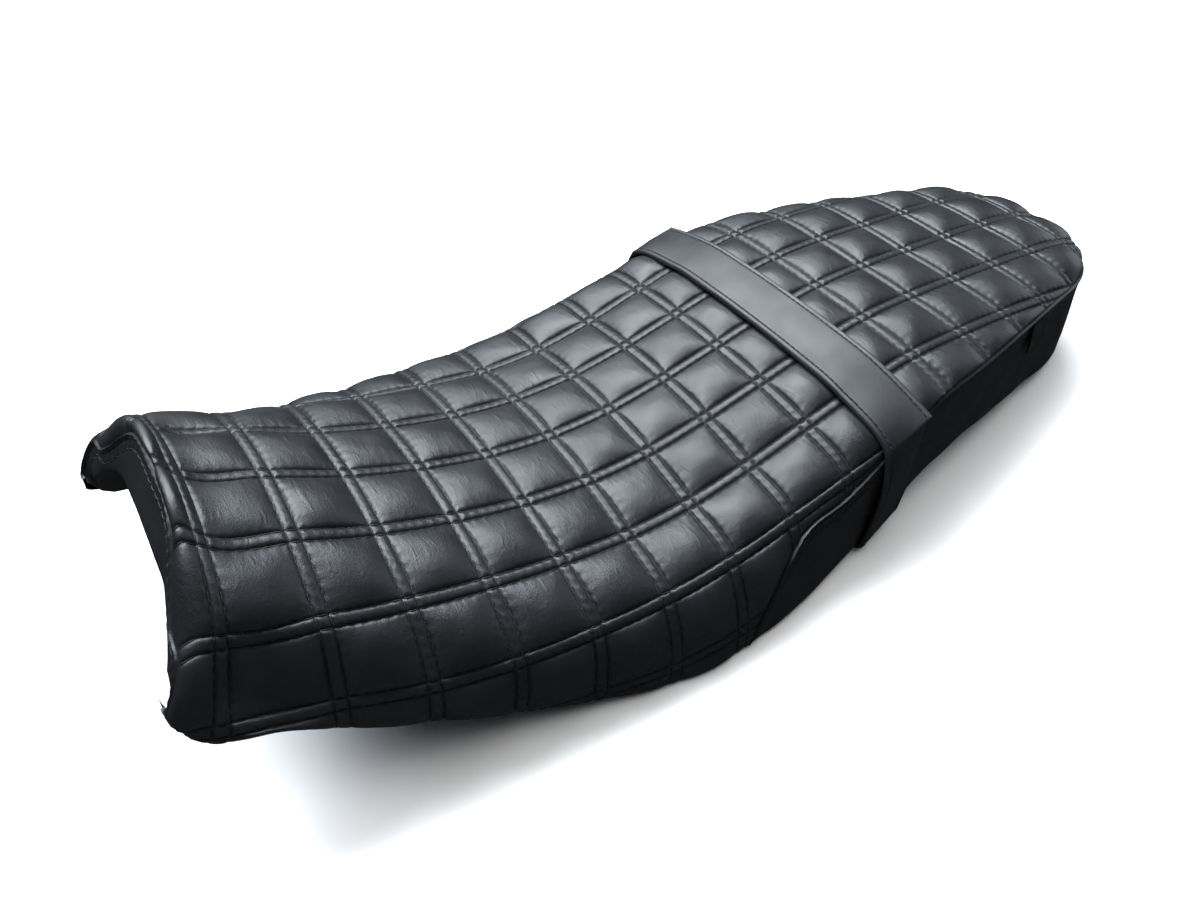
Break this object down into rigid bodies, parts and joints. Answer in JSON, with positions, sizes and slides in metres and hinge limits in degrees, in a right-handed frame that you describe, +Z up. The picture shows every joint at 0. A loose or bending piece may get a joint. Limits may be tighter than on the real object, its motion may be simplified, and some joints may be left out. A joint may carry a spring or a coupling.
{
  "type": "motorcycle seat",
  "caption": "Dual motorcycle seat: square-quilted black cover over foam on a moulded pan, plain side band, passenger strap, nose arched over the tank, rounded tail.",
  "frame": {"origin": "on the surface the seat lies on, under the middle of its bounding box; the seat stands as it does off the bike, on its side hems and the lower edge of its tail", "axes": "+X towards the tail, +Y to the rider's right, +Z up; fitted to a motorcycle the seat is turned nose down by 6.4 degrees about Y from this pose"},
  "size_m": [0.7264, 0.314, 0.1725],
  "materials": {
    "quilted_vinyl": "satin black grained vinyl, quilted",
    "plain_vinyl": "satin black grained vinyl",
    "strap_vinyl": "satin black vinyl strap",
    "foam": "moulded open-cell foam",
    "pan_plastic": "black moulded polypropylene, fine texture",
    "black_steel": "black powder coat",
    "bright_steel": "zinc plated",
    "bumper_rubber": "matt black rubber",
    "tag_weave": "black woven ribbon with a plain pale block"
  },
  "bodies": {
    "root": {"cover_quilted_top": "quilted_vinyl", "cover_side_band": "plain_vinyl", "cover_hem_strip": "plain_vinyl", "cover_front_panel": "plain_vinyl", "foam_core": "foam", "seat_pan": "pan_plastic", "cover_staples": "bright_steel", "grab_strap": "strap_vinyl", "strap_plate_left": "black_steel", "strap_plate_right": "black_steel", "strap_bolts": "bright_steel", "strap_washers": "bright_steel", "strap_tee_nuts": "bright_steel", "woven_tag": "tag_weave", "front_tongue": "black_steel", "tongue_rivets": "bright_steel", "striker_plate": "black_steel", "latch_striker": "bright_steel", "striker_screws": "bright_steel", "striker_tee_nuts": "bright_steel", "bumper_front_left": "bumper_rubber", "bumper_front_right": "bumper_rubber", "bumper_middle_left": "bumper_rubber", "bumper_middle_right": "bumper_rubber", "bumper_rear_left": "bumper_rubber", "bumper_rear_right": "bumper_rubber"}
  },
  "joints": []
}
